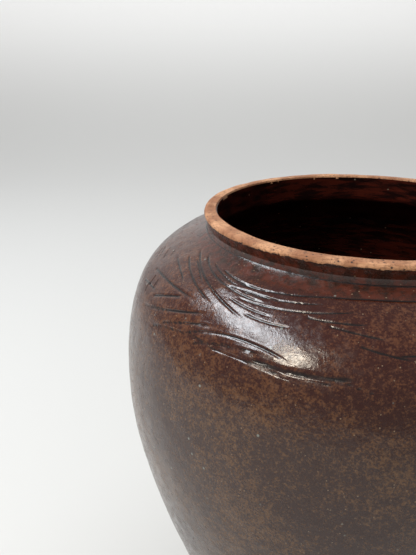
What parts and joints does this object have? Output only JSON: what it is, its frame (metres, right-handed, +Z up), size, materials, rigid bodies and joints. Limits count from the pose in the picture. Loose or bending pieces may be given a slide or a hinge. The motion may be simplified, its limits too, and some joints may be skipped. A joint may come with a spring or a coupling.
{
  "type": "storage jar",
  "caption": "Wide-mouthed stoneware storage jar with full shoulders, a short collar and a bare lip, glazed brown inside and out, that stands on a flat foot.",
  "frame": {"origin": "centre of the foot on the floor", "axes": "+Z up along the jar's axis of revolution; -Y is the side that the picture shows"},
  "size_m": [0.3439, 0.344, 0.35],
  "materials": {
    "foot_clay": "bare fired stoneware clay, toasted brown, wiped smooth",
    "wall_clay": "fired stoneware clay body under the glaze",
    "lip_clay": "bare fired clay, tan to orange, with specks and small pits",
    "outer_glaze": "glossy red-brown glaze mottled with ochre, with fine blue-grey specks and incised combed strokes",
    "inner_glaze": "glossy dark red-brown glaze over throwing rings"
  },
  "bodies": {
    "root": {"base_slab": "foot_clay", "lower_wall": "wall_clay", "upper_wall": "wall_clay", "neck_band": "wall_clay", "collar": "wall_clay", "lip_ring": "lip_clay", "outer_glaze": "outer_glaze", "inner_glaze": "inner_glaze"}
  },
  "joints": []
}
